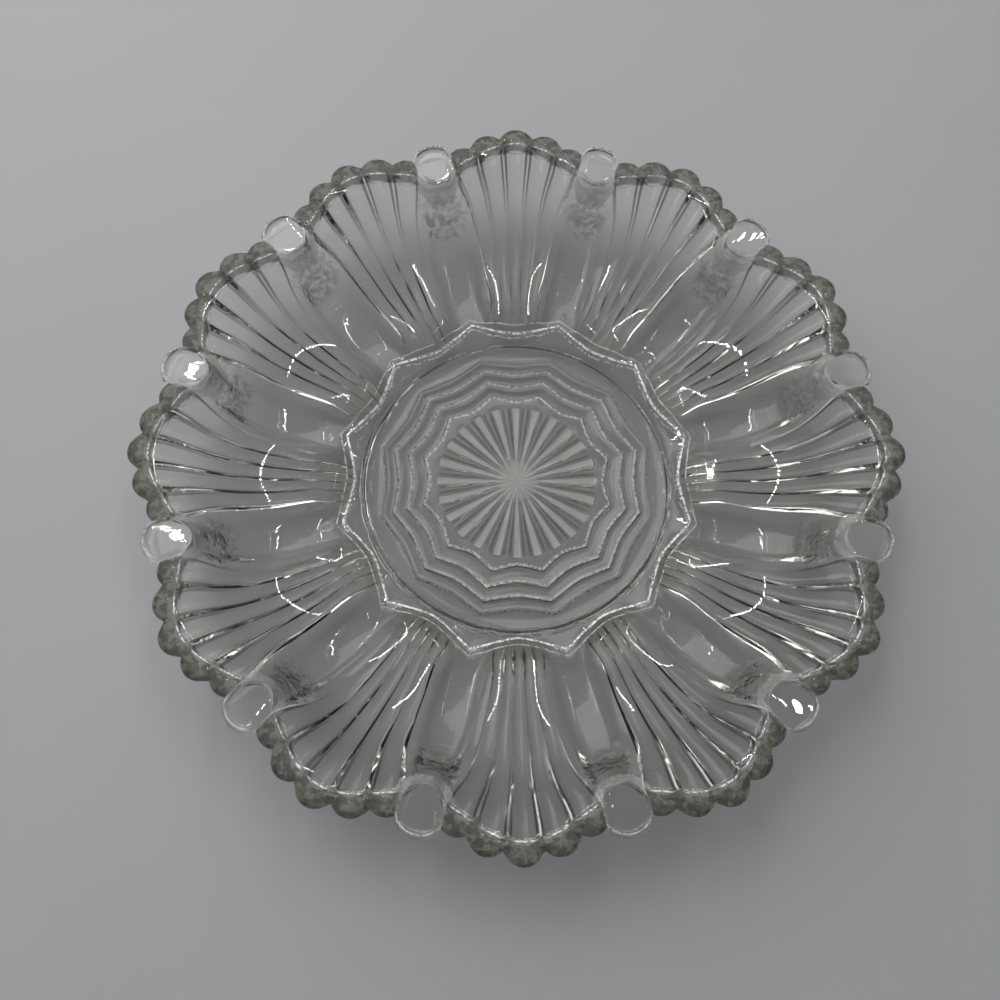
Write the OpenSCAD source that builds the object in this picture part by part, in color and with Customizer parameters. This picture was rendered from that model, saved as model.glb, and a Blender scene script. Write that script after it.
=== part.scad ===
// Pressed glass platter for devilled eggs: a sunburst centre, a ring of egg wells with a
// fluted fan between each pair, a scalloped rim and a thin round tab at the end of each well.
// The glass is one moulding. It is drawn as the zones of its pattern, which meet face to face.
// The foot rests on z = 0, +Z is up, and a fan lies on the +X axis.

/* [Plate] */
// Diameter over the tips of the scalloped rim
overall_d = 280; // [264:1:300]
// Number of egg wells, and of the fans between them
well_count = 12; // [11:1:13]
// Height of the rim above the flat centre
rim_rise = 29.6; // [26:0.2:33]
// Thickness of the wall between two flutes and in the wells
glass_t = 4.2; // [3.6:0.1:5]

/* [Centre] */
// Radius of the sunburst's disc
sun_r = 32.5; // [31.8:0.1:33.5]
// Radius out to the ends of the short rays
ray_end_r = 30.2; // [28:0.1:30.8]
// How much longer every second ray is
ray_extra = 0.9; // [0:0.1:0.9]
// Radius of a ray at its outer end
ray_r = 2.7; // [2.2:0.1:3]
// Depth of the rays below the disc
ray_depth = 1.2; // [0.6:0.1:1.6]
// Radius of the plain spot where the rays begin
ray_start_r = 3.4; // [2.5:0.1:5]
// Thickness of the glass under the sunburst
centre_t = 4.6; // [4:0.1:5.2]
// Corner radius of the innermost web line
web_corner_r = 37.3; // [36:0.1:38]
// How far the second web line lies outside the first
web_pitch = 6.4; // [5.4:0.1:6.6]
// How much less each further line steps out
web_closing = 0.8; // [0.6:0.1:1]
// How far the middle of a web line's side lies inside its corners
web_sag = 3.3; // [2:0.1:3.8]
// Number of web lines
web_lines = 4; // [3:1:4]

/* [Base] */
// Inner radius of the foot ring, where the web ends
ring_r = 58.1; // [57.5:0.1:58.3]
// Width of the foot ring
foot_w = 3.4; // [2.4:0.1:3.6]
// Height of the foot ring
foot_h = 2; // [1.5:0.1:3]
// Slope of the foot ring's sides, taken off its width on each side
foot_draft = 0.6; // [0.2:0.1:0.9]
// Thickness of the glass over the foot
base_t = 6; // [5.4:0.1:7]
// Radius of the border at the middle of a side
star_mid_r = 61.9; // [61.8:0.1:64]
// Radius of the border at its corners
star_corner_r = 68; // [66:0.1:70]

/* [Wells] */
// Depth of a well's floor below the flat centre
well_depth = 2.4; // [1.5:0.1:3]

/* [Fans] */
// Height of a fan's crest above the flat centre
crest_h = 4.8; // [3.6:0.1:6]
// How much a fan's middle stands above its edges
crown_h = 1.2; // [0.6:0.1:1.6]
// Number of flutes under each fan
flutes = 5; // [5:1:5]
// Depth of the flutes at the rim
flute_depth = 2.4; // [1.2:0.1:2.8]

/* [Rim] */
// Radius of one rim bead
bead_r = 6.6; // [6.2:0.1:7]
// Thickness of the rim beads
bead_t = 5.2; // [4.4:0.1:5.8]
// How far a bead's tip stands out from the end of the fan
bead_reach = 5.9; // [5.4:0.1:6.4]
// How far the rim line draws in towards a tab
rim_notch = 10.2; // [9:0.1:11]
// Radius of a tab
tab_r = 8.8; // [8.2:0.1:9.2]
// Thickness of a tab
tab_t = 2.8; // [2.2:0.1:3.4]
// Thickness of the round lip along a tab's edge
lip_t = 3.8; // [3.6:0.1:4.4]
// How far a tab's outer edge stands out from the end of the well
tab_reach = 12; // [11:0.1:13]
// How far a tab's face lies below the rim
tab_drop = 0.9; // [0.6:0.1:1.4]

/* [Hidden] */
// Angle from one fan to the next, and half of it
sector = 360 / well_count;
half_sector = sector / 2;
// Levels
base_z = foot_h;
centre_z = foot_h + base_t;
sun_z = centre_z - centre_t;
rim_z = centre_z + rim_rise;
tab_mid_z = rim_z - tab_drop - tab_t / 2;
// Radius where a fan and a well end
fan_end_r = overall_d / 2 - bead_reach;
well_end_r = fan_end_r - rim_notch;
// How quickly the border and the web lines swing out to their corners
star_curve_share = 1.6;
web_curve_share = 1.7;
// Rows of the dished surface, as shares of the way from the border to the rim
row_shares = [0, 0.05, 0.12, 0.22, 0.4, 0.58, 0.7, 0.79, 0.87, 0.93, 1];
// Width of a fan at each row, as a share of the sector
fan_width_shares = [0.44, 0.433, 0.427, 0.433, 0.487, 0.54, 0.587, 0.647, 0.72, 0.773, 0.8];
// Fan: share of the crest height, then of the climb from the crest to the rim
crest_shares = [0, 0.6, 0.95, 1, 1, 1, 1, 1, 1, 1, 1];
climb_shares = [0, 0, 0, 0.005, 0.05, 0.21, 0.41, 0.625, 0.815, 0.93, 1];
crown_shares = [0, 0.4, 0.7, 0.8, 0.85, 0.9, 1, 0.9, 0.6, 0.3, 0];
fan_wall_shares = [0, 2, 1.7, 1.1, 1, 1, 1, 1, 1, 1, 1];
flute_shares = [0, 0.2, 0.3, 0.34, 0.42, 0.55, 0.65, 0.78, 0.9, 0.96, 1];
// Well: share of the floor's depth, then of the climb from the floor to the rim
dip_shares = [0, 0.12, 0.67, 1, 1, 1, 1, 1, 0.9, 0.4, 0];
wall_shares = [0, 0, 0, 0, 0.031, 0.125, 0.244, 0.397, 0.65, 0.88, 1];
well_wall_shares = [0, 1.3, 1.08, 1, 1, 1.08, 1.26, 1.74, 2.2, 2, 0];
// Columns across a well, and how flat its floor lies between steep sides
well_columns_share = [-1, -0.82, -0.5, 0, 0.5, 0.82, 1];
well_top_power_share = 4;
well_under_power_share = 6;
// Steps per flute
flute_steps = 4;
// Places of the rim beads, as shares of half a sector from the fan's middle
bead_shares = [-0.64, -0.333, 0, 0.333, 0.64];
// Points along one side of a web line
side_steps = 10;
// Rays of the sunburst and the slope of their sides
ray_count = 2 * well_count;
ray_slope = asin(ray_r / ray_end_r);
// Overrun of the cuts
over = 1;
$fn = 96;
glass_tint = [0.8, 0.84, 0.8, 0.5];

// Radius of the border's star outline and of the rim line, at an angle from a fan's middle
function star_r(a) = star_mid_r + (star_corner_r - star_mid_r) * pow(abs(a) / half_sector, star_curve_share);
function edge_r(a) = fan_end_r - rim_notch * (1 - cos(180 * a / half_sector)) / 2;

// Radius, at an angle from a fan's middle, of a row of the dished surface
function row_r(i, a) = star_r(a) + (edge_r(a) - star_r(a)) * row_shares[i];

// Angle from the nearest fan's middle
function near_fan(a) = a > half_sector ? a - sector : a;

// Point of a row at an angle from the first fan's middle, and at a height
function spot(i, a, z) =
    let (r = row_r(i, near_fan(a)))
    [r * cos(a), r * sin(a), z];

// Half the angle that a fan covers on a row
function fan_half(i) = half_sector * fan_width_shares[i];

// Heights of a fan, where t runs from -1 to 1 across it
function fan_crest(i) = centre_z + crest_h * crest_shares[i] + (rim_rise - crest_h) * climb_shares[i];
function fan_top(i, t) = fan_crest(i) - crown_h * crown_shares[i] * t * t;
function fan_wall(i) = i == 0 ? base_t : glass_t * fan_wall_shares[i];
function flute_wave(t) = abs(sin(flutes * 90 * (t + 1)));
function fan_under(i, t) = fan_top(i, t) - fan_wall(i) - flute_depth * flute_shares[i] * flute_wave(t);

// Heights of a well, where w runs from -1 to 1 across it
function last_row(i) = i == len(row_shares) - 1;
function well_floor(i) =
    centre_z - well_depth * dip_shares[i] + (rim_rise - tab_drop) * wall_shares[i];
function well_wall(i) = i == 0 ? base_t : last_row(i) ? tab_t : glass_t * well_wall_shares[i];
function well_top(i, w) =
    well_floor(i) + (fan_top(i, 1) - well_floor(i)) * pow(abs(w), well_top_power_share);
function well_under(i, w) =
    let (low = well_floor(i) - well_wall(i))
    low + (fan_under(i, 1) - low) * pow(abs(w), well_under_power_share);

// Angle from the fan's middle across the well that follows it
function well_angle(i, w) = half_sector + w * (half_sector - fan_half(i));

// Angles, from a fan's middle, of every column on a row
function fan_columns() = [for (j = [0:flutes * flute_steps]) 2 * j / (flutes * flute_steps) - 1];
function row_angles(i) = concat(
    [for (t = fan_columns()) t * fan_half(i)],
    [for (m = [1:len(well_columns_share) - 2]) well_angle(i, well_columns_share[m])]
);

// Closed solid between two grids of points, which have vertical walls between them
module loft(top, under) {
    rows = len(top);
    cols = len(top[0]);
    size = rows * cols;
    points = concat([for (row = top) each row], [for (row = under) each row]);
    // Corner numbers of one cell, on the top grid
    function a(i, j) = i * cols + j;
    function cell(i, j) = [a(i, j), a(i, j + 1), a(i + 1, j + 1), a(i + 1, j)];
    // Two triangles of a cell, mirrored about the middle column
    function halves(c, j) = 2 * j < cols - 1
        ? [[c[0], c[1], c[3]], [c[1], c[2], c[3]]]
        : [[c[0], c[1], c[2]], [c[0], c[2], c[3]]];
    function below(face) = [for (k = [len(face) - 1:-1:0]) face[k] + size];
    cells = [for (i = [0:rows - 2]) for (j = [0:cols - 2]) each halves(cell(i, j), j)];
    inner = [for (j = [0:cols - 2]) [a(0, j + 1), a(0, j), a(0, j) + size, a(0, j + 1) + size]];
    outer = [for (j = [0:cols - 2])
        [a(rows - 1, j), a(rows - 1, j + 1), a(rows - 1, j + 1) + size, a(rows - 1, j) + size]];
    start = [for (i = [0:rows - 2]) [a(i, 0), a(i + 1, 0), a(i + 1, 0) + size, a(i, 0) + size]];
    end = [for (i = [0:rows - 2])
        [a(i + 1, cols - 1), a(i, cols - 1), a(i, cols - 1) + size, a(i + 1, cols - 1) + size]];
    polyhedron(points, concat(cells, [for (face = cells) below(face)], inner, outer, start, end));
}

// Fluted fan: smooth on top, with rounded flutes underneath that widen towards the rim
module fan(k) {
    rows = [0:len(row_shares) - 1];
    top = [for (i = rows) [for (t = fan_columns()) spot(i, t * fan_half(i), fan_top(i, t))]];
    under = [for (i = rows) [for (t = fan_columns()) spot(i, t * fan_half(i), fan_under(i, t))]];
    color(glass_tint) rotate([0, 0, (k - 1) * sector]) loft(top, under);
}

// Egg well: a shallow trough with a flat floor, steep sides and a steep outer end
module well(k) {
    rows = [0:len(row_shares) - 1];
    top = [for (i = rows) [for (w = well_columns_share) spot(i, well_angle(i, w), well_top(i, w))]];
    under = [for (i = rows) [for (w = well_columns_share) spot(i, well_angle(i, w), well_under(i, w))]];
    color(glass_tint) rotate([0, 0, (k - 1) * sector]) loft(top, under);
}

// Outline of one row of the dished surface, all the way round
module row_outline(i) {
    polygon([for (k = [0:well_count - 1]) for (b = row_angles(i))
        let (r = row_r(i, near_fan(b)), a = b + k * sector)
        [r * cos(a), r * sin(a)]]);
}

// Corner radius of each web line, counted from 0 at the innermost
function web_r(n) = web_corner_r + n * web_pitch - web_closing * n * (n - 1) / 2;

// Outline of one web line: a polygon whose sides bow inwards
module web_outline(corner_r) {
    polygon([for (k = [0:well_count * side_steps - 1])
        let (
            a = k * sector / side_steps,
            n = abs((k % side_steps) * 2 / side_steps - 1),
            r = corner_r - web_sag * (1 - pow(n, web_curve_share))
        )
        [r * cos(a + half_sector), r * sin(a + half_sector)]]);
}

// One ray of the sunburst: a rib, round in section, that narrows to the centre and has a
// blunt outer end
module ray(reach) {
    rotate([0, 90 - ray_slope, 0]) translate([0, 0, ray_start_r])
        cylinder(
            h = reach - ray_start_r,
            r1 = ray_start_r * tan(ray_slope),
            r2 = reach * tan(ray_slope)
        );
}

// Centre disc with its rays underneath
module sunburst() {
    color(glass_tint) {
        translate([0, 0, sun_z]) cylinder(h = centre_t, r = sun_r);
        intersection() {
            for (k = [0:ray_count - 1])
                rotate([0, 0, k * 360 / ray_count])
                    translate([0, 0, sun_z - ray_depth]) ray(ray_end_r + (k % 2) * ray_extra);
            cylinder(h = sun_z + centre_t / 2, r = sun_r);
        }
    }
}

// Web: nested lines that step down, underneath, from the sunburst to the foot
module web() {
    step_h = (base_t - centre_t) / web_lines;
    color(glass_tint) difference() {
        translate([0, 0, base_z]) cylinder(h = base_t, r = ring_r);
        for (n = [0:web_lines - 1])
            translate([0, 0, base_z - over])
                linear_extrude(height = over + step_h * (web_lines - n)) web_outline(web_r(n));
        translate([0, 0, base_z - over]) cylinder(h = base_t + 2 * over, r = sun_r);
    }
}

// Border: flat band from the foot's circle out to the star outline
module border() {
    color(glass_tint) difference() {
        translate([0, 0, base_z]) linear_extrude(height = base_t) row_outline(0);
        translate([0, 0, base_z - over]) cylinder(h = base_t + 2 * over, r = ring_r);
    }
}

// Foot ring that the platter stands on, with sloping sides
module foot_ring() {
    color(glass_tint) rotate_extrude() polygon([
        [ring_r + foot_draft, 0],
        [ring_r + foot_w - foot_draft, 0],
        [ring_r + foot_w, foot_h],
        [ring_r, foot_h]
    ]);
}

// Round disc whose edge is a full half circle
module round_disc(r, t) {
    rotate_extrude() {
        translate([0, -t / 2]) square([r - t / 2, t]);
        translate([r - t / 2, 0]) circle(r = t / 2);
    }
}

// The rim line as a block, which the beads and tabs are cut off at
module rim_block() {
    linear_extrude(height = rim_z + bead_t) row_outline(len(row_shares) - 1);
}

// One bead, at a share of half a sector from the fan's middle
module bead(share) {
    a = share * half_sector;
    rotate([0, 0, a])
        translate([edge_r(a) + bead_reach - bead_r, 0, rim_z - bead_t / 2]) round_disc(bead_r, bead_t);
}

// Scallops along the end of one fan
module rim_beads(k) {
    color(glass_tint) rotate([0, 0, (k - 1) * sector]) difference() {
        union() {
            for (share = bead_shares) bead(share);
        }
        rim_block();
    }
}

// Thin round tab past the end of one well, with a lip along its edge
module tab(k) {
    color(glass_tint) rotate([0, 0, (k - 0.5) * sector]) difference() {
        translate([well_end_r + tab_reach - tab_r, 0, tab_mid_z]) {
            translate([0, 0, -tab_t / 2]) cylinder(h = tab_t, r = tab_r - lip_t / 2);
            rotate_extrude() translate([tab_r - lip_t / 2, 0]) circle(r = lip_t / 2);
        }
        rotate([0, 0, half_sector]) rim_block();
        rotate([0, 0, half_sector]) bead(bead_shares[0]);
        rotate([0, 0, -half_sector]) bead(-bead_shares[0]);
    }
}

sunburst();
web();
border();
foot_ring();
for (k = [1:well_count]) {
    fan(k);
    well(k);
    rim_beads(k);
    tab(k);
}
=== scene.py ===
import bpy
import math
from mathutils import Matrix, Vector


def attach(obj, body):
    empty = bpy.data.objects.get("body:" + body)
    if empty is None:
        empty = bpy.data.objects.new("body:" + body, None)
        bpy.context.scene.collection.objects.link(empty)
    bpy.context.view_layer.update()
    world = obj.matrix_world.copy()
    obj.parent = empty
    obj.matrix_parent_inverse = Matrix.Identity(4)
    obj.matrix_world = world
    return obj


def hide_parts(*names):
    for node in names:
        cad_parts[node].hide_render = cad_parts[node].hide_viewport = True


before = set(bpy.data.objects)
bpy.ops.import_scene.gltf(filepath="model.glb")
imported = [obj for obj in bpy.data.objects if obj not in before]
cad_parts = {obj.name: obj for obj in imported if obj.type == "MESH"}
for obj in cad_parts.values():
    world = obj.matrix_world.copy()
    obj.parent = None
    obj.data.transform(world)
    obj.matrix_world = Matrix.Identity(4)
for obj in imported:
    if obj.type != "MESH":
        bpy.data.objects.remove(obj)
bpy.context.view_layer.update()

scene = bpy.context.scene
print("frame loaded,", len(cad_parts), "zones of glass")


def clearSelection():
    bpy.ops.object.select_all(action="DESELECT")


def curveAt(stops, values, x):         # smooth curve through a table, without overshoot
    count = len(stops)
    steps = [(values[i + 1] - values[i]) / (stops[i + 1] - stops[i]) for i in range(count - 1)]
    slopes = [steps[0]] + [0] * (count - 2) + [steps[-1]]
    for i in range(1, count - 1):
        if steps[i - 1] * steps[i] > 0:
            before, after = stops[i] - stops[i - 1], stops[i + 1] - stops[i]
            near, far = 2 * after + before, after + 2 * before
            slopes[i] = (near + far) / (near / steps[i - 1] + far / steps[i])
    x = min(max(x, stops[0]), stops[-1])
    i = max(k for k in range(count - 1) if stops[k] <= x)
    width = stops[i + 1] - stops[i]
    t = (x - stops[i]) / width
    square, cube = t ** 2, t ** 3
    return ((2 * cube - 3 * square + 1) * values[i] + (cube - 2 * square + t) * width * slopes[i]
            + (3 * square - 2 * cube) * values[i + 1] + (cube - square) * width * slopes[i + 1])


def easeBetween(low, high, x):
    t = min(max((x - low) / (high - low), 0), 1)
    return t * t * (3 - 2 * t)


# the dish: fans, wells and rim, all in millimetres
dish = {
    "sectors": 12,
    "centreLevel": 8.0, "rimLevel": 37.6,
    "starMiddle": 61.9, "starCorner": 68.0, "starCurve": 1.6,
    "fanEnd": 134.1, "rimNotch": 10.2,
    "rowStops": [0, 0.05, 0.12, 0.22, 0.4, 0.58, 0.7, 0.79, 0.87, 0.93, 1],
    "fanWidth": [0.44, 0.433, 0.427, 0.433, 0.487, 0.54, 0.587, 0.647, 0.72, 0.765, 0.777],
    "crest": [0, 0.62, 1, 0.94, 0.93, 0.96, 0.98, 1, 1, 1, 1], "crestHeight": 4.8,
    "climb": [0, 0, 0, 0.005, 0.05, 0.21, 0.41, 0.625, 0.815, 0.93, 1],
    "crown": [0, 0.4, 0.72, 0.84, 1.15, 1.35, 1.2, 0.95, 0.6, 0.3, 0], "crownHeight": 1.2,
    "fanWall": [1.43, 2, 1.7, 1.1, 1, 1, 1, 1, 1, 1, 1], "glass": 4.2,
    "flute": [0, 0.2, 0.3, 0.34, 0.42, 0.55, 0.65, 0.78, 0.9, 0.96, 1],
    "flutes": 5, "fluteDepth": 2.7,
    "dip": [0, 0.12, 0.67, 1, 1, 1, 1, 1, 0.9, 0.4, 0], "wellDepth": 2.4, "floorCurve": 0.08,
    "wall": [0, 0, 0, 0, 0.031, 0.125, 0.244, 0.397, 0.65, 0.88, 1],
    "wellWall": [1.43, 1.3, 1.08, 1, 1, 1.08, 1.26, 1.74, 2.2, 2, 0.667],
    "tabDrop": 0.9, "tabThick": 2.8, "tabLip": 1.9,
    "tabRadius": 9.7, "tabCentre": 126.2, "tabInset": 5.0,
    "beadRadius": 6.6, "beadReach": 5.9, "beadPlaces": [-9.6, -5, 0, 5, 9.6],
}
halfSector = 180 / dish["sectors"]


def tableAt(name, s):
    return curveAt(dish["rowStops"], dish[name], s)


def starRadius(angle):                 # the star outline of the flat centre
    share = abs(angle) / halfSector
    reach = dish["starCorner"] - dish["starMiddle"]
    return dish["starMiddle"] + reach * share ** dish["starCurve"]


def edgeRadius(angle):                 # the rim line, drawn in at each tab
    return dish["fanEnd"] - dish["rimNotch"] * (1 - math.cos(math.pi * angle / halfSector)) / 2


def nearAngle(angle):
    return angle if angle <= halfSector else angle - 2 * halfSector


def fanTop(s, t):
    crest = dish["centreLevel"] + dish["crestHeight"] * tableAt("crest", s)
    climb = (dish["rimLevel"] - dish["centreLevel"] - dish["crestHeight"]) * tableAt("climb", s)
    return crest + climb - dish["crownHeight"] * tableAt("crown", s) * t * t


def fanUnder(s, t):
    wave = abs(math.sin(math.radians(90 * dish["flutes"] * (t + 1))))
    return (fanTop(s, t) - dish["glass"] * tableAt("fanWall", s)
            - dish["fluteDepth"] * tableAt("flute", s) * wave)


def sideShare(w):                      # how far up a well's side lies, 0 on its floor
    curve = dish["floorCurve"]
    return curve * w ** 4 + (1 - curve) * (6 * abs(w) ** 5 - 5 * w ** 6)


def wellTop(s, w):
    rise = dish["rimLevel"] - dish["centreLevel"] - dish["tabDrop"]
    floor = dish["centreLevel"] - dish["wellDepth"] * tableAt("dip", s) + rise * tableAt("wall", s)
    return floor + (fanTop(s, 1) - floor) * sideShare(w), floor


def wellUnder(s, w):
    floor = wellTop(s, 0)[1] - dish["glass"] * tableAt("wellWall", s)
    return floor + (fanUnder(s, 1) - floor) * sideShare(w)


def discReach(angle, centreAngle, centre, radius):   # how far out a disc reaches at an angle
    turn = math.radians(angle - centreAngle)
    across = centre * math.sin(turn)
    if abs(across) >= radius:
        return 0
    return centre * math.cos(turn) + math.sqrt(radius ** 2 - across ** 2)


def rimReach(angle, onTab):            # the scalloped outline
    if onTab:
        return discReach(abs(angle), halfSector, dish["tabCentre"], dish["tabRadius"])
    return max(discReach(angle, place, edgeRadius(place) + dish["beadReach"] - dish["beadRadius"],
                         dish["beadRadius"]) for place in dish["beadPlaces"])


# the centre's underside: foot ring, web and sunburst
centre = {
    "flatRadii": [0, 8, 18, 28, 38, 48, 56],
    "sunLevel": 3.4,
    "foot": [(61.7, 2.0), (61.1, 1.7), (60.5, 1.05), (60.0, 0.4), (59.6, 0.06), (59.3, 0.0),
             (58.9, 0.0), (58.65, 0.2), (58.35, 1.5), (57.9, 2.0)],
    "webCorners": [37.3, 43.7, 49.3, 54.1], "webSag": 3.3, "webCurve": 1.7,
    "webLow": [2.0, 1.8, 1.6, 1.4], "webHigh": [3.4, 3.3, 3.1, 2.8],
    "webSlope": [(0.9, 0.8), (0.72, 0.42), (0.45, 0.12)],      # shares of the way out and up
    "webStep": [(0.9, 0), (0.45, 0.12)],                       # millimetres out and up
    "sunRadii": [33.0, 32.3, 31.7, 31.2, 30.7, 30.1, 29.3, 27.8, 25.6, 23, 20, 17, 14, 11, 8,
                 5.5, 3.4, 0],
    "rays": 24, "rayReach": 28.9, "rayRadius": 2.75, "rayExtra": 0.4,
    "rayDepth": 0.9, "raySlope": 0.38,
    "columnWidth": 10.0,               # half the angle of a fan's columns near the middle
}


def webRadius(line, angle):
    share = abs(angle) / halfSector
    return centre["webCorners"][line] - centre["webSag"] * (1 - share ** centre["webCurve"])


def sunUnder(radius, angle):
    pitch = 360 / centre["rays"]
    ray = round(angle / pitch)
    turn = math.radians(angle - ray * pitch)
    along, across = radius * math.cos(turn), radius * math.sin(turn)
    reach = centre["rayReach"] + (ray % 2) * centre["rayExtra"]
    half = min(along, reach) * centre["rayRadius"] / centre["rayReach"]
    off = math.hypot(across, max(along - reach, 0)) / max(half, 0.001)
    if off >= 1:
        return centre["sunLevel"]
    deepest = min(centre["rayDepth"], centre["raySlope"] * half)
    return centre["sunLevel"] - deepest * (1 - off ** 2)


# the rounded edge: beads with valleys between them, and the tabs' lip
edge = {
    "valley": 3.0, "valleyDrop": 0.5, "upper": 2.1, "knobRise": 0.4, "tabUpper": 2.3,
    "leastLower": 1, "setBack": 0.3, "tabBlend": 0.3, "joints": [0.25, 0.6],
    "lipTurn": -42,                    # degrees from its top where a tab's lip starts
}


# one column of the dish, from the middle of the top round the rim to the middle below
rows = {
    "top": [0, 0.012, 0.025, 0.04, 0.055, 0.075, 0.095, 0.12, 0.15, 0.185, 0.22, 0.27, 0.32,
            0.37, 0.42, 0.47, 0.52, 0.57, 0.61, 0.65, 0.69, 0.73, 0.765, 0.8, 0.83, 0.86, 0.89,
            0.92, 0.945, 0.97, 1],
    "edgeSteps": 10,
    "fanColumns": 40, "wellColumns": 20,
    "mergeWithin": 0.000002, "smoothAngle": 38,
}


def columnPlace(column):               # place across a fan or across a well, from -1 to 1
    if column <= rows["fanColumns"]:
        return True, 2 * column / rows["fanColumns"] - 1
    return False, 2 * (column - rows["fanColumns"]) / rows["wellColumns"] - 1


def columnPoints(column):
    onFan, place = columnPlace(column)

    def angleFor(width):
        return place * width if onFan else halfSector + place * (halfSector - width)

    def dishAngle(s):
        return angleFor(halfSector * tableAt("fanWidth", s))

    def dishPoint(s, height):          # a well ends early, at its tab's round inner side
        angle = dishAngle(s)
        near = nearAngle(angle)
        inset = 0 if onFan else dish["tabInset"] * (1 - place * place)
        radius = starRadius(near) + (edgeRadius(near) - inset - starRadius(near)) * s
        return radius, angle, height(s, place)

    topHeight = fanTop if onFan else lambda s, w: wellTop(s, w)[0]
    underHeight = fanUnder if onFan else wellUnder
    plain = angleFor(centre["columnWidth"])
    points = [(radius, plain, dish["centreLevel"]) for radius in centre["flatRadii"]]
    points += [dishPoint(s, topHeight) for s in rows["top"]]

    edgeAngle = dishAngle(1)
    near = nearAngle(edgeAngle)
    inner = edgeRadius(near)
    outer = rimReach(near, not onFan)
    # tab is 1 inside a tab, knob is 1 at the tip of a bead
    tab = 0 if onFan else easeBetween(0, edge["tabBlend"], 1 - abs(place))
    knob = max(outer - inner - edge["valley"], 0) / (dish["beadReach"] - edge["valley"])
    upper = edge["upper"] + edge["knobRise"] * knob + (dish["tabLip"] - edge["tabUpper"]) * tab
    tabLevel = dish["rimLevel"] - dish["tabDrop"] - dish["tabThick"] / 2
    beadLevel = dish["rimLevel"] - edge["valleyDrop"] * (1 - min(knob, 1)) - upper
    level = min(beadLevel + (tabLevel - beadLevel) * tab, dish["rimLevel"] - upper)
    topEnd, underEnd = points[-1], dishPoint(1, underHeight)
    lower = max(level - underEnd[2], edge["leastLower"]) * (1 - tab) + dish["tabLip"] * tab
    depth = (outer - inner - edge["setBack"]) * (1 - tab) + dish["tabLip"] * tab
    start = math.radians(edge["lipTurn"] * tab)
    arc = []
    for i in range(rows["edgeSteps"]):
        turn = start + (math.pi - 2 * start) * i / (rows["edgeSteps"] - 1)
        half = upper if math.cos(turn) > 0 else lower
        radius = outer - depth + depth * math.sin(turn)
        arc.append((radius, edgeAngle, level + half * math.cos(turn)))

    def joint(end, edgePoint, share):  # between the dish and its rounded edge
        radius = end[0] + (edgePoint[0] - end[0]) * share
        return radius, edgeAngle, edgePoint[2] + (end[2] - edgePoint[2]) * (1 - share) ** 2

    points += [joint(topEnd, arc[0], share) for share in edge["joints"]]
    points += arc
    points += [joint(underEnd, arc[-1], share) for share in reversed(edge["joints"])]
    points += [dishPoint(s, underHeight) for s in reversed(rows["top"])]

    points += [(radius, plain, level) for radius, level in centre["foot"]]
    plainNear = nearAngle(plain)
    beyond, outerHigh = centre["foot"][-1]
    for line in (3, 2, 1, 0):          # web lines, from the foot inwards
        here = webRadius(line, plainNear)
        low, high = centre["webLow"][line], centre["webHigh"][line]
        for share, climb in centre["webSlope"]:
            points.append((here + share * (beyond - here), plain, low + climb * (outerHigh - low)))
        for out, rise in centre["webStep"]:
            points.append((here + out, plain, low + rise))
        points.append((here, plain, high))
        beyond, outerHigh = here, high
    points += [(radius, plain, sunUnder(radius, plainNear)) for radius in centre["sunRadii"]]
    return points


print("shaping one sector")
columns = rows["fanColumns"] + rows["wellColumns"]
sector = [columnPoints(column) for column in range(columns)]
sector.append([(radius, angle + 2 * halfSector, height) for radius, angle, height in sector[0]])
ringCount = len(sector[0])

clearSelection()
bpy.ops.mesh.primitive_grid_add(x_subdivisions=columns, y_subdivisions=ringCount - 1, size=1)
platter = bpy.context.object
platter.name = "platter"
for vertex in platter.data.vertices:
    column = round((vertex.co.x + 0.5) * columns)
    ring = round((vertex.co.y + 0.5) * (ringCount - 1))
    radius, angle, height = sector[column][ring]
    turn = math.radians(angle)
    vertex.co = Vector((radius * math.cos(turn), radius * math.sin(turn), height)) / 1000

bpy.ops.object.mode_set(mode="EDIT")
bpy.ops.mesh.select_all(action="SELECT")
bpy.ops.mesh.spin(steps=dish["sectors"] - 1, dupli=True, center=(0, 0, 0), axis=(0, 0, 1),
                  angle=math.tau * (dish["sectors"] - 1) / dish["sectors"])
bpy.ops.mesh.select_all(action="SELECT")
bpy.ops.mesh.remove_doubles(threshold=rows["mergeWithin"])
bpy.ops.mesh.normals_make_consistent(inside=False)
bpy.ops.object.mode_set(mode="OBJECT")
bpy.ops.object.shade_smooth_by_angle(angle=math.radians(rows["smoothAngle"]))
print("platter:", len(platter.data.polygons), "faces")


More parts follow.
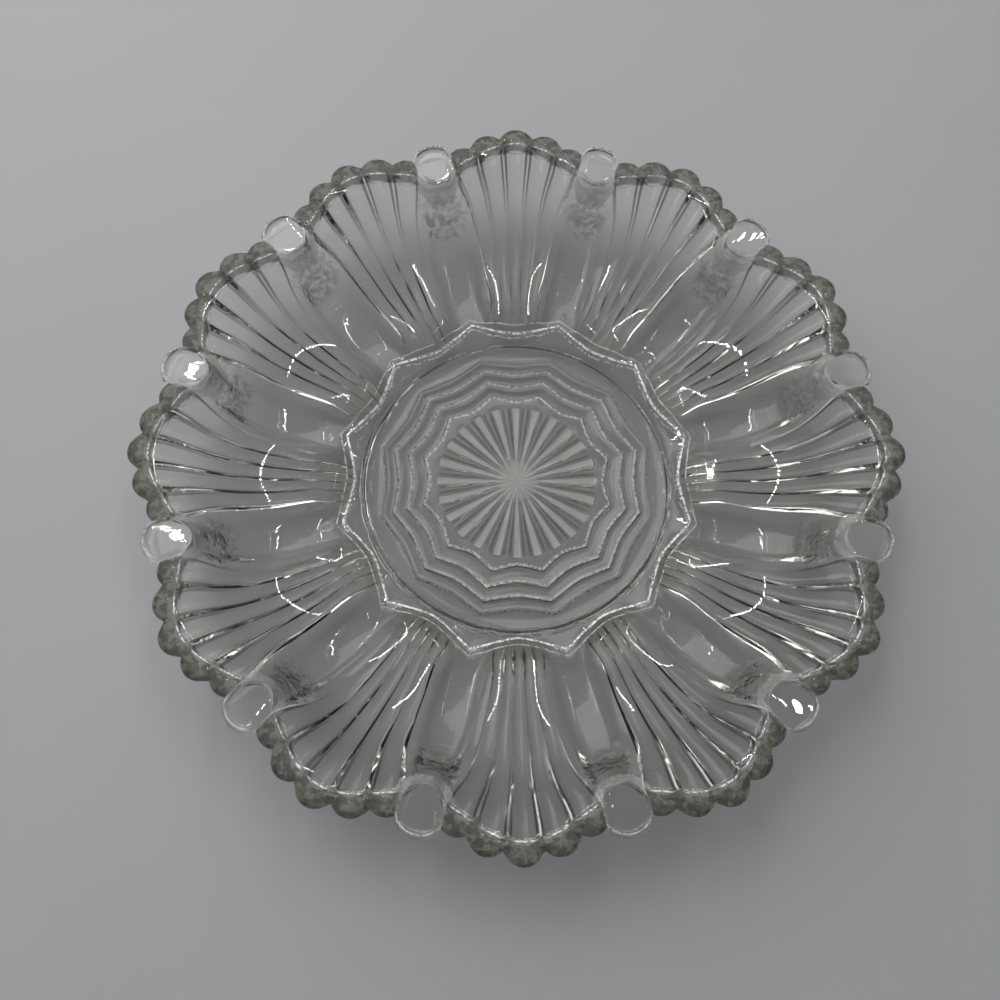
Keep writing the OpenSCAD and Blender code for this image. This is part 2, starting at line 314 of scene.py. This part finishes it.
# shader sums: an expression on Sockets adds the nodes it needs
class Socket:
    def __init__(self, tree, socket):
        self.tree = tree
        self.socket = socket

    def node(self, kind, settings=None, values=None, output=0):
        made = self.tree.nodes.new(kind)
        for name, value in (settings or {}).items():
            if name == "stops":
                while len(made.color_ramp.elements) < len(value):
                    made.color_ramp.elements.new(0.5)
                for element, (place, shade) in zip(made.color_ramp.elements, value):
                    element.position, element.color = place, (shade, shade, shade, 1)
            else:
                setattr(made, name, value)
        for name, value in (values or {}).items():
            if isinstance(value, Socket):
                self.tree.links.new(value.socket, made.inputs[name])
            else:
                made.inputs[name].default_value = value
        return Socket(self.tree, made.outputs[output])

    def sum(self, operation, *values):
        return self.node("ShaderNodeMath", {"operation": operation}, dict(enumerate(values)))

    def __add__(self, other):
        return self.sum("ADD", self, other)

    def __radd__(self, other):
        return self.sum("ADD", other, self)

    def __sub__(self, other):
        return self.sum("SUBTRACT", self, other)

    def __rsub__(self, other):
        return self.sum("SUBTRACT", other, self)

    def __mul__(self, other):
        return self.sum("MULTIPLY", self, other)

    def __truediv__(self, other):
        return self.sum("DIVIDE", self, other)

    def __pow__(self, other):
        return self.sum("POWER", self, other)

    def between(self, low, high):      # 0 below low, 1 above high, smooth between
        return self.node("ShaderNodeMapRange", {"interpolation_type": "SMOOTHSTEP"},
                         {"Value": self, "From Min": low, "From Max": high})

    def band(self, low, rise, fall, high):   # 1 between rise and fall, 0 outside low to high
        return self.between(low, rise) * (1 - self.between(fall, high))


def newMaterial(name):
    material = bpy.data.materials.new(name)
    material.use_nodes = True
    tree = material.node_tree
    shader = next(node for node in tree.nodes if node.type == "BSDF_PRINCIPLED")
    coordinates = tree.nodes.new("ShaderNodeTexCoord")
    return material, tree, shader, Socket(tree, coordinates.outputs["Object"])


# clear pressed glass: its colours, the colours of its painted light and painted shade, its mould
# texture and how strongly each mark shows
glassLook = {
    "tint": (0.95, 0.952, 0.94, 1), "smudge": (0.92, 0.925, 0.91, 1),
    # of the next line's tones, olive is the glass's own tint where it is thick, and the dark one is
    # painted shade in the fan grooves, on the ray flanks and on the tabs' outer edges
    "olive": (0.80, 0.81, 0.75, 1), "paintedShade": (0.16, 0.165, 0.15, 1),
    # the last roughness on the next line is that of the diffuse layer which paints light and shade
    # on the marks
    "ior": 1.51, "roughLow": 0.004, "roughHigh": 0.03, "paintedLayerRough": 0.35,
    "absorb": (0.80, 0.815, 0.755, 1), "density": 45.0,
    "rippleScale": 55.0, "rippleDepth": 0.00012,
    "stippleScale": 1500.0, "stippleDepth": 0.00014,
    "mottleScale": 420.0, "mottleDepth": 0.00042,
    "smearScale": 21.0, "dashScale": 70.0, "speckleScale": 900.0, "speckleLeast": 0.3,
    # the layer's pale colour is painted light and painted highlight, its dark and olive colours
    # painted mottled shade, and the most it covers comes last
    "paintedLight": (0.95, 0.96, 0.95, 1), "paintedShadeDark": (0.075, 0.078, 0.064, 1),
    "paintedShadeOlive": (0.19, 0.195, 0.163, 1), "mostPainted": 0.9,
    # how strongly the layer lays painted light, painted highlight and painted shade on each mark
    "rayPaintedLight": 0.62, "bandPaintedLight": 0.42, "linePaintedHighlight": 1.2, "beadPaintedShade": 0.6,
    "endPaintedShade": 0.3, "streakPaintedHighlight": 0.65, "tabRingTintAndShade": 0.6,
    "lastLine": 0.6, "starLine": 0.7, "borderLine": 0.4, "rimLine": 0.6, "tabLine": 0.35,
    "grooveShade": 0.85, "rayShade": 0.7, "tabShade": 0.45, "noseOlive": 0.6, "noseFade": 0.6,
}

# where each mark lies, in millimetres or as a share: two numbers are where it starts and is
# full, four are where a band starts, is full, is full for the last time and ends
glassMarks = {
    "underside": (3.6, 5.2), "sun": (31, 34), "hub": (4, 13),
    "rayCore": (0.12, 0.29), "rayEnd": (30.4, 31.6),
    "rayFlankShade": (0.29, 0.35, 0.39, 0.44), "rayLength": (10, 18, 29.5, 31.4),
    "webBands": [(40.6, 42.0, 42.5, 43.1), (46.7, 47.9, 48.4, 48.9), (51.7, 52.7, 53.2, 53.7)],
    "webLines": [(36.0, 36.3, 37.1, 37.4), (42.5, 42.8, 43.5, 43.8), (48.1, 48.4, 49.1, 49.4)],
    "lastLine": (53.9, 54.1, 54.5, 54.8), "footLine": (58.7, 59.0, 59.7, 60.1),
    "starLine": (61.7, 62, 62.5, 62.9), "borderLine": (64.6, 64.8, 65, 65.3),
    "rimLine": (131.7, 132, 132.2, 132.6),
    "nose": (61.8, 62.8, 68, 72.5), "noseSide": (0.35, 0.8),
    "wellSide": (0.3, 0.85), "wellEnd": (107.5, 110.5, 114.5, 117.5),
    "bead": (132.6, 133.6), "beadArch": 2.2,
    "tab": (9.4, 9.9), "tabSide": (0.765, 0.785), "tabInside": (-5, -2), "tabOutside": (-4, 0),
    "tabRing": (7.3, 7.8, 9.8, 11), "tabEdgeShade": (8.9, 9.3, 9.9, 10.2),
    "tabLine": (7.8, 8.1, 8.6, 9.0),
    "fanSide": (0.98, 1.03),
    "paintedShade": (0.1, 0.2, 0.3, 0.46), "grooveStart": (0.6, 0.9), "grooveEnd": (0.975, 1),
    "streak": (0.04, 0.12), "streakStart": (0.45, 0.8), "streakEnd": (0.97, 1),
    "streakSmear": (0, 0.3),
    "smear": (0.52, 0.74), "speckle": (0.44, 0.54), "dashes": (0.5, 0.56), "scales": (0.42, 0.6),
}


def glassMaterial():
    look, marks = glassLook, glassMarks
    material, tree, shader, place = newMaterial("pressedGlass")
    apart = tree.nodes.new("ShaderNodeSeparateXYZ")
    tree.links.new(place.socket, apart.inputs[0])
    x, y, z = (Socket(tree, apart.outputs[i]) * 1000 for i in range(3))     # millimetres
    radius = (x * x + y * y) ** 0.5
    around = x.sum("ARCTAN2", y, x)
    sector = around * (dish["sectors"] / math.tau)
    off = sector - sector.sum("ROUND", sector)         # -0.5 to 0.5 across a fan and its wells
    far = off.sum("ABSOLUTE", off)
    share = far * 2
    wave = (around * dish["sectors"]).sum("COSINE", around * dish["sectors"])
    webLine = radius + (1 - share ** centre["webCurve"]) * centre["webSag"]
    starLine = radius - share ** dish["starCurve"] * (dish["starCorner"] - dish["starMiddle"])
    edgeLine = radius + (1 - wave) * (dish["rimNotch"] / 2)
    starHere = radius - starLine + dish["starMiddle"]  # radius of the star outline here
    rimHere = radius - edgeLine + dish["fanEnd"]       # radius of the rim line here
    climb = (radius - starHere) / (rimHere - starHere)

    def noise(scale, detail, distortion=0.0):
        return place.node("ShaderNodeTexNoise", None, {
            "Vector": place, "Scale": scale, "Detail": detail, "Distortion": distortion})

    def blend(amount, first, second):
        return place.node("ShaderNodeMix", {"data_type": "RGBA"},
                          {0: amount, 6: first, 7: second}, 2)

    ripple = noise(look["rippleScale"], detail=1.5)
    stipple = noise(look["stippleScale"], detail=1)
    mottle = noise(look["mottleScale"], detail=2.5)
    smear = noise(look["smearScale"], detail=5, distortion=0.8).between(*marks["smear"])
    dashes = noise(look["dashScale"], detail=1).between(*marks["dashes"])
    speckle = noise(look["speckleScale"], detail=1).between(*marks["speckle"])
    speckle = speckle * (1 - look["speckleLeast"]) + look["speckleLeast"]
    underneath = 1 - z.between(*marks["underside"])
    inSun = (1 - radius.between(*marks["sun"])) * underneath

    # tabs, the wells' outer ends and the beads: olive tint on the beads and tab rings, mould mottle
    # on them and on the wells' outer ends, painted mottled shade on all three, and painted shade on
    # the tabs' outer edges
    toTab = (0.5 - far) * (math.tau / dish["sectors"])
    alongTab = radius * off.sum("COSINE", toTab) - dish["tabCentre"]
    acrossTab = radius * off.sum("SINE", toTab)
    tabGap = (alongTab * alongTab + acrossTab * acrossTab) ** 0.5
    onTab = (1 - tabGap.between(*marks["tab"])) * share.between(*marks["tabSide"])
    onWell = (0 - wave).between(*marks["wellSide"])
    wellEnd = onWell * radius.band(*marks["wellEnd"])
    quarterTurns = math.pi * dish["flutes"] / 2
    lobe = off * (2 / dish["fanWidth"][-1]) * quarterTurns
    lobeWave = lobe.sum("ABSOLUTE", lobe.sum("COSINE", lobe))     # 1 in the middle of a flute
    # painted mottled shade, with olive tint and mould mottle, on the beads and the tab rings
    bead = (edgeLine + (1 - lobeWave) * marks["beadArch"]).between(*marks["bead"]) * (1 - onTab)
    tabRing = tabGap.band(*marks["tabRing"]) * (1 - alongTab.between(*marks["tabInside"])) * onWell
    bead = bead.sum("MAXIMUM", bead, tabRing * look["tabRingTintAndShade"])
    tabRim = onTab * alongTab.between(*marks["tabOutside"])
    tabEdgeShade = tabGap.band(*marks["tabEdgeShade"]) * tabRim

    # grooves and streaks between the flutes of a fan: painted shade in the grooves, painted
    # highlight in the streaks
    fanWidths = list(zip(dish["rowStops"], dish["fanWidth"]))[3:]  # from where it only widens
    width = radius.node("ShaderNodeValToRGB", {"stops": fanWidths}, {0: climb})
    spread = off * 2 / width                                       # -1 to 1 across a fan
    flute = spread * quarterTurns
    fluteWave = flute.sum("ABSOLUTE", flute.sum("COSINE", flute))
    onFan = 1 - spread.sum("ABSOLUTE", spread).between(*marks["fanSide"])
    paintedGrooveShade = (fluteWave.band(*marks["paintedShade"]) * climb.between(*marks["grooveStart"])
               * (1 - climb.between(*marks["grooveEnd"])) * onFan)
    # painted highlight: pale streaks along the joins between the flutes
    streaks = ((1 - fluteWave.between(*marks["streak"])) * climb.between(*marks["streakStart"])
               * (1 - climb.between(*marks["streakEnd"])) * onFan
               * smear.between(*marks["streakSmear"]))

    # sunburst, web and the crisp light lines: painted light on the ray cores, the hub and the web
    # bands, painted shade on the ray flanks, painted highlight in the lines
    pitch = around * (centre["rays"] / math.tau)
    rayOff = pitch - pitch.sum("ROUND", pitch)
    rayOff = rayOff.sum("ABSOLUTE", rayOff)
    # painted light: pale ray cores and hub; painted shade: dark ray flanks
    rayCore = (1 - rayOff.between(*marks["rayCore"])) * (1 - radius.between(*marks["rayEnd"]))
    rayFlankShade = rayOff.band(*marks["rayFlankShade"]) * radius.band(*marks["rayLength"]) * underneath
    rays = rayCore.sum("MAXIMUM", rayCore, 1 - radius.between(*marks["hub"])) * underneath
    # painted light: pale bands on the web
    bands = webLine.band(*marks["webBands"][0])
    for webBand in marks["webBands"][1:]:
        bands = bands + webLine.band(*webBand)
    bands = bands * underneath
    # painted highlight: crisp pale lines on the web, the foot ring, the star, the border, the rim
    # and the tab outlines
    lines = webLine.band(*marks["webLines"][0])
    for webMark in marks["webLines"][1:]:
        lines = lines + webLine.band(*webMark)
    lines = lines + webLine.band(*marks["lastLine"]) * look["lastLine"]
    lines = (lines + radius.band(*marks["footLine"]) * dashes) * underneath
    lines = lines + starLine.band(*marks["starLine"]) * look["starLine"]
    lines = lines + starLine.band(*marks["borderLine"]) * look["borderLine"]
    lines = lines + edgeLine.band(*marks["rimLine"]) * (1 - onTab) * look["rimLine"]
    lines = lines + tabGap.band(*marks["tabLine"]) * tabRim * look["tabLine"]
    noseSide = share.between(*marks["noseSide"])
    nose = starLine.band(*marks["nose"]) * (1 - noseSide * look["noseFade"])

    height = (ripple * look["rippleDepth"] + stipple * look["stippleDepth"] * inSun
              + mottle * look["mottleDepth"] * (wellEnd + bead))
    bump = place.node("ShaderNodeBump", None, {"Height": height, "Strength": 1.0, "Distance": 1.0})
    colour = blend(smear, look["tint"], look["smudge"])
    colour = blend(bead.sum("MAXIMUM", bead, nose * look["noseOlive"]), colour, look["olive"])
    # painted shade: the dark tone in the fan grooves, on the ray flanks and on the tabs' outer
    # edges
    shade = (paintedGrooveShade * look["grooveShade"] + rayFlankShade * look["rayShade"]
             + tabEdgeShade * look["tabShade"])
    colour = blend(shade, colour, look["paintedShade"])
    rough = look["roughLow"] + smear * (look["roughHigh"] - look["roughLow"])
    for name, value in (("Base Color", colour), ("Roughness", rough), ("Normal", bump)):
        tree.links.new(value.socket, shader.inputs[name])
    shader.inputs["Transmission Weight"].default_value = 1
    shader.inputs["IOR"].default_value = look["ior"]

    # the diffuse layer over the clear glass, bumped like it: pale where it paints light on the rays
    # and web bands and highlights on the lines and streaks, dark and mottled where it paints shade
    # on the beads, tab rings and wells' outer ends
    paintedLayer = tree.nodes.new("ShaderNodeBsdfPrincipled")
    scales = mottle.between(*marks["scales"])
    paintedShadeMottle = blend(scales, look["paintedShadeDark"], look["paintedShadeOlive"])
    paintedLayerColour = blend(bead.sum("MAXIMUM", bead, wellEnd), look["paintedLight"], paintedShadeMottle)
    tree.links.new(paintedLayerColour.socket, paintedLayer.inputs["Base Color"])
    tree.links.new(bump.socket, paintedLayer.inputs["Normal"])
    paintedLayer.inputs["Roughness"].default_value = look["paintedLayerRough"]
    paintedLayer.inputs["IOR"].default_value = look["ior"]
    amount = (rays * look["rayPaintedLight"] + bands * look["bandPaintedLight"]
              + lines * speckle * look["linePaintedHighlight"] + bead * look["beadPaintedShade"]
              + wellEnd * scales * look["endPaintedShade"] + streaks * look["streakPaintedHighlight"])
    mixed = tree.nodes.new("ShaderNodeMixShader")
    tree.links.new(amount.sum("MINIMUM", amount, look["mostPainted"]).socket, mixed.inputs[0])
    tree.links.new(shader.outputs[0], mixed.inputs[1])
    tree.links.new(paintedLayer.outputs[0], mixed.inputs[2])
    output = next(node for node in tree.nodes if node.type == "OUTPUT_MATERIAL")
    tree.links.new(mixed.outputs[0], output.inputs["Surface"])

    absorb = tree.nodes.new("ShaderNodeVolumeAbsorption")
    absorb.inputs["Color"].default_value = look["absorb"]
    absorb.inputs["Density"].default_value = look["density"]
    tree.links.new(absorb.outputs[0], output.inputs["Volume"])
    return material


platter.data.materials.clear()
platter.data.materials.append(glassMaterial())
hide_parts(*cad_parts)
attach(platter, "root")
print("glass material on")


# studio: pale table, two rows of small lamps and a soft ceiling
studio = {
    "tableSize": 1.7, "tableColour": (0.37, 0.375, 0.385, 1), "tableShade": 0.95,
    "tableGrain": 9.0, "tableRough": 0.55,
    "rowHeight": 1.8, "rowSide": 0.63, "rowAway": 0.75, "rowLength": 1.5, "lampsInRow": 25,
    "lampSize": 0.024, "lampStretch": 1.8, "lampStrength": 70.0,
    "ceiling": 0.36, "horizon": 0.11, "ceilingFrom": (0.1, 0.5), "lean": 0.4, "backdrop": 0.3,
    "softPlace": (-0.62, 0.74, 0.88), "softEnergy": 14.0, "softSize": 1.5,
    "cardSize": 1.1, "cardPlace": (0.66, -0.5, 0.46), "cardColour": (0.05, 0.05, 0.05, 1),
}

clearSelection()
bpy.ops.mesh.primitive_plane_add(size=studio["tableSize"], location=(0, 0, 0))
table = bpy.context.object
table.name = "table"
tableMaterial, tableTree, tableShader, tablePlace = newMaterial("paleTable")
tableGrain = tablePlace.node("ShaderNodeTexNoise", None, {
    "Vector": tablePlace, "Scale": studio["tableGrain"], "Detail": 3})
tableDark = tuple(part * studio["tableShade"] for part in studio["tableColour"][:3]) + (1,)
tableColour = tablePlace.node("ShaderNodeMix", {"data_type": "RGBA"}, {
    0: tableGrain, 6: studio["tableColour"], 7: tableDark}, 2)
tableTree.links.new(tableColour.socket, tableShader.inputs["Base Color"])
tableShader.inputs["Roughness"].default_value = studio["tableRough"]
table.data.materials.append(tableMaterial)

lampMaterial = bpy.data.materials.new("lamp")
lampMaterial.use_nodes = True
lampTree = lampMaterial.node_tree
lampTree.nodes.clear()
glow = lampTree.nodes.new("ShaderNodeEmission")
glow.inputs["Strength"].default_value = studio["lampStrength"]
lampOutput = lampTree.nodes.new("ShaderNodeOutputMaterial")
lampTree.links.new(glow.outputs[0], lampOutput.inputs["Surface"])
for side in (-1, 1):
    clearSelection()
    bpy.ops.mesh.primitive_plane_add(size=studio["lampSize"], rotation=(math.pi, 0, 0), location=(
        side * studio["rowSide"], studio["rowAway"] - studio["rowLength"] / 2, studio["rowHeight"]))
    row = bpy.context.object
    row.name = "lampRow"
    row.scale.x = studio["lampStretch"]
    bpy.ops.object.transform_apply(location=False, rotation=True, scale=True)
    repeat = row.modifiers.new("row", "ARRAY")
    repeat.count = studio["lampsInRow"]
    repeat.use_relative_offset = False
    repeat.use_constant_offset = True
    repeat.constant_offset_displace = (0, studio["rowLength"] / (studio["lampsInRow"] - 1), 0)
    bpy.ops.object.modifier_apply(modifier="row")
    row.data.materials.append(lampMaterial)

world = bpy.data.worlds.new("room")
scene.world = world
world.use_nodes = True
worldTree = world.node_tree
backdrop = next(node for node in worldTree.nodes if node.type == "BACKGROUND")
backdrop.inputs["Color"].default_value = (1, 1, 1, 1)
direction = worldTree.nodes.new("ShaderNodeTexCoord")
heading = worldTree.nodes.new("ShaderNodeSeparateXYZ")
worldTree.links.new(direction.outputs["Generated"], heading.inputs[0])
away, up = Socket(worldTree, heading.outputs[1]), Socket(worldTree, heading.outputs[2])
lightPath = worldTree.nodes.new("ShaderNodeLightPath")
seen = Socket(worldTree, lightPath.outputs["Is Camera Ray"])    # the backdrop itself stays pale
rise = up.between(*studio["ceilingFrom"])
room = studio["horizon"] + rise * (studio["ceiling"] - studio["horizon"])
room = room * (1 + away * studio["lean"])                       # lighter on the far side
room = room * (1 - seen) + seen * studio["backdrop"]
worldTree.links.new(room.socket, backdrop.inputs["Strength"])

bpy.ops.object.light_add(type="AREA", location=studio["softPlace"])
soft = bpy.context.object
soft.data.size = studio["softSize"]
soft.data.energy = studio["softEnergy"]
soft.visible_glossy = False            # a soft fill that leaves no window on the glass
soft.rotation_euler = (Vector((0, 0, 0)) - soft.location).to_track_quat("-Z", "Y").to_euler()

clearSelection()                       # a dark card that shades the near right corner
bpy.ops.mesh.primitive_plane_add(size=studio["cardSize"], location=studio["cardPlace"])
card = bpy.context.object
card.name = "card"
card.rotation_euler = (Vector((0, 0, 0)) - card.location).to_track_quat("Z", "Y").to_euler()
cardMaterial, _, cardShader, _ = newMaterial("darkCard")
cardShader.inputs["Base Color"].default_value = studio["cardColour"]
card.data.materials.append(cardMaterial)
card.visible_camera = False            # felt in the light, not seen from other sides
print("studio set")


# camera, held nearly overhead as in the photograph
shot = {
    "place": (-0.01456, -0.12869, 0.36311), "pitch": 71.32, "yaw": 3.84, "roll": -3.76,
    "lens": 35.25, "sensor": 36, "clipStart": 0.01,
}
pitch, yaw, roll = (math.radians(shot[name]) for name in ("pitch", "yaw", "roll"))
ahead = Vector((math.sin(yaw) * math.cos(pitch), math.cos(yaw) * math.cos(pitch),
                -math.sin(pitch)))
level = Vector((math.cos(yaw), -math.sin(yaw), 0))
across = level * math.cos(roll) - level.cross(ahead) * math.sin(roll)
upward = level * math.sin(roll) + level.cross(ahead) * math.cos(roll)
bpy.ops.object.camera_add()
camera = bpy.context.object
camera.matrix_world = Matrix((
    (across.x, upward.x, -ahead.x, shot["place"][0]),
    (across.y, upward.y, -ahead.y, shot["place"][1]),
    (across.z, upward.z, -ahead.z, shot["place"][2]),
    (0, 0, 0, 1)))
camera.data.sensor_width = shot["sensor"]
camera.data.lens = shot["lens"]
camera.data.clip_start = shot["clipStart"]
scene.camera = camera
scene.view_settings.view_transform = "Standard"

print("camera set")
